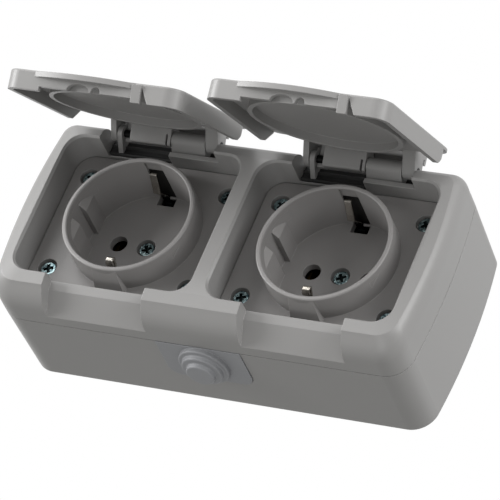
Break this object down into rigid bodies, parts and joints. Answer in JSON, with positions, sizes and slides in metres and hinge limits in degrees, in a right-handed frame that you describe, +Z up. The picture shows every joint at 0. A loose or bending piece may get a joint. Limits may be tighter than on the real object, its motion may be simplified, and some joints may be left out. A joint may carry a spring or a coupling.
{
  "type": "outdoor weatherproof socket",
  "caption": "Surface-mounted splash-proof wall socket box with hinged lids over round earthed outlets and a soft cable entry below.",
  "frame": {"origin": "centre of the back face, on the wall plane", "axes": "+X along the box to the right as seen from the front, +Z up towards the lid hinges, +Y into the wall, so the front faces -Y"},
  "size_m": [0.1402, 0.0962, 0.0781],
  "materials": {
    "housing_plastic": "satin injection-moulded grey plastic",
    "lid_plastic": "satin injection-moulded grey plastic",
    "insert_plastic": "fine matt injection-moulded grey plastic",
    "entry_elastomer": "soft moulded grey elastomer",
    "seal_rubber": "black moulded rubber",
    "zinc_screw_steel": "blue zinc-passivated steel",
    "contact_spring_metal": "nickel-plated spring metal",
    "contact_brass": "stamped bare brass",
    "block_plastic": "black heat-resistant moulded plastic",
    "pin_steel": "drawn steel wire"
  },
  "bodies": {
    "box": {"base_box": "housing_plastic", "front_cover": "housing_plastic", "cover_seal": "seal_rubber", "cable_grommet": "entry_elastomer", "socket_insert_left": "insert_plastic", "insert_screws_left": "zinc_screw_steel", "centre_screw_left": "zinc_screw_steel", "earth_strap_left": "contact_spring_metal", "contact_block_left": "block_plastic", "line_contact_left": "contact_brass", "neutral_contact_left": "contact_brass", "terminal_screws_left": "zinc_screw_steel", "hinge_pin_left": "pin_steel", "socket_insert_right": "insert_plastic", "insert_screws_right": "zinc_screw_steel", "centre_screw_right": "zinc_screw_steel", "earth_strap_right": "contact_spring_metal", "contact_block_right": "block_plastic", "line_contact_right": "contact_brass", "neutral_contact_right": "contact_brass", "terminal_screws_right": "zinc_screw_steel", "hinge_pin_right": "pin_steel"},
    "lid_left": {"lid_left": "lid_plastic"},
    "lid_right": {"lid_right": "lid_plastic"}
  },
  "joints": [
    {"name": "lid_left_hinge", "type": "hinge", "parent": "box", "child": "lid_left", "pos_m": [-0.033, -0.039, 0.0328], "axis": [-1, 0, 0], "range_deg": [-65, 40]},
    {"name": "lid_right_hinge", "type": "hinge", "parent": "box", "child": "lid_right", "pos_m": [0.033, -0.039, 0.0328], "axis": [-1, 0, 0], "range_deg": [-69.8, 35.2]}
  ]
}
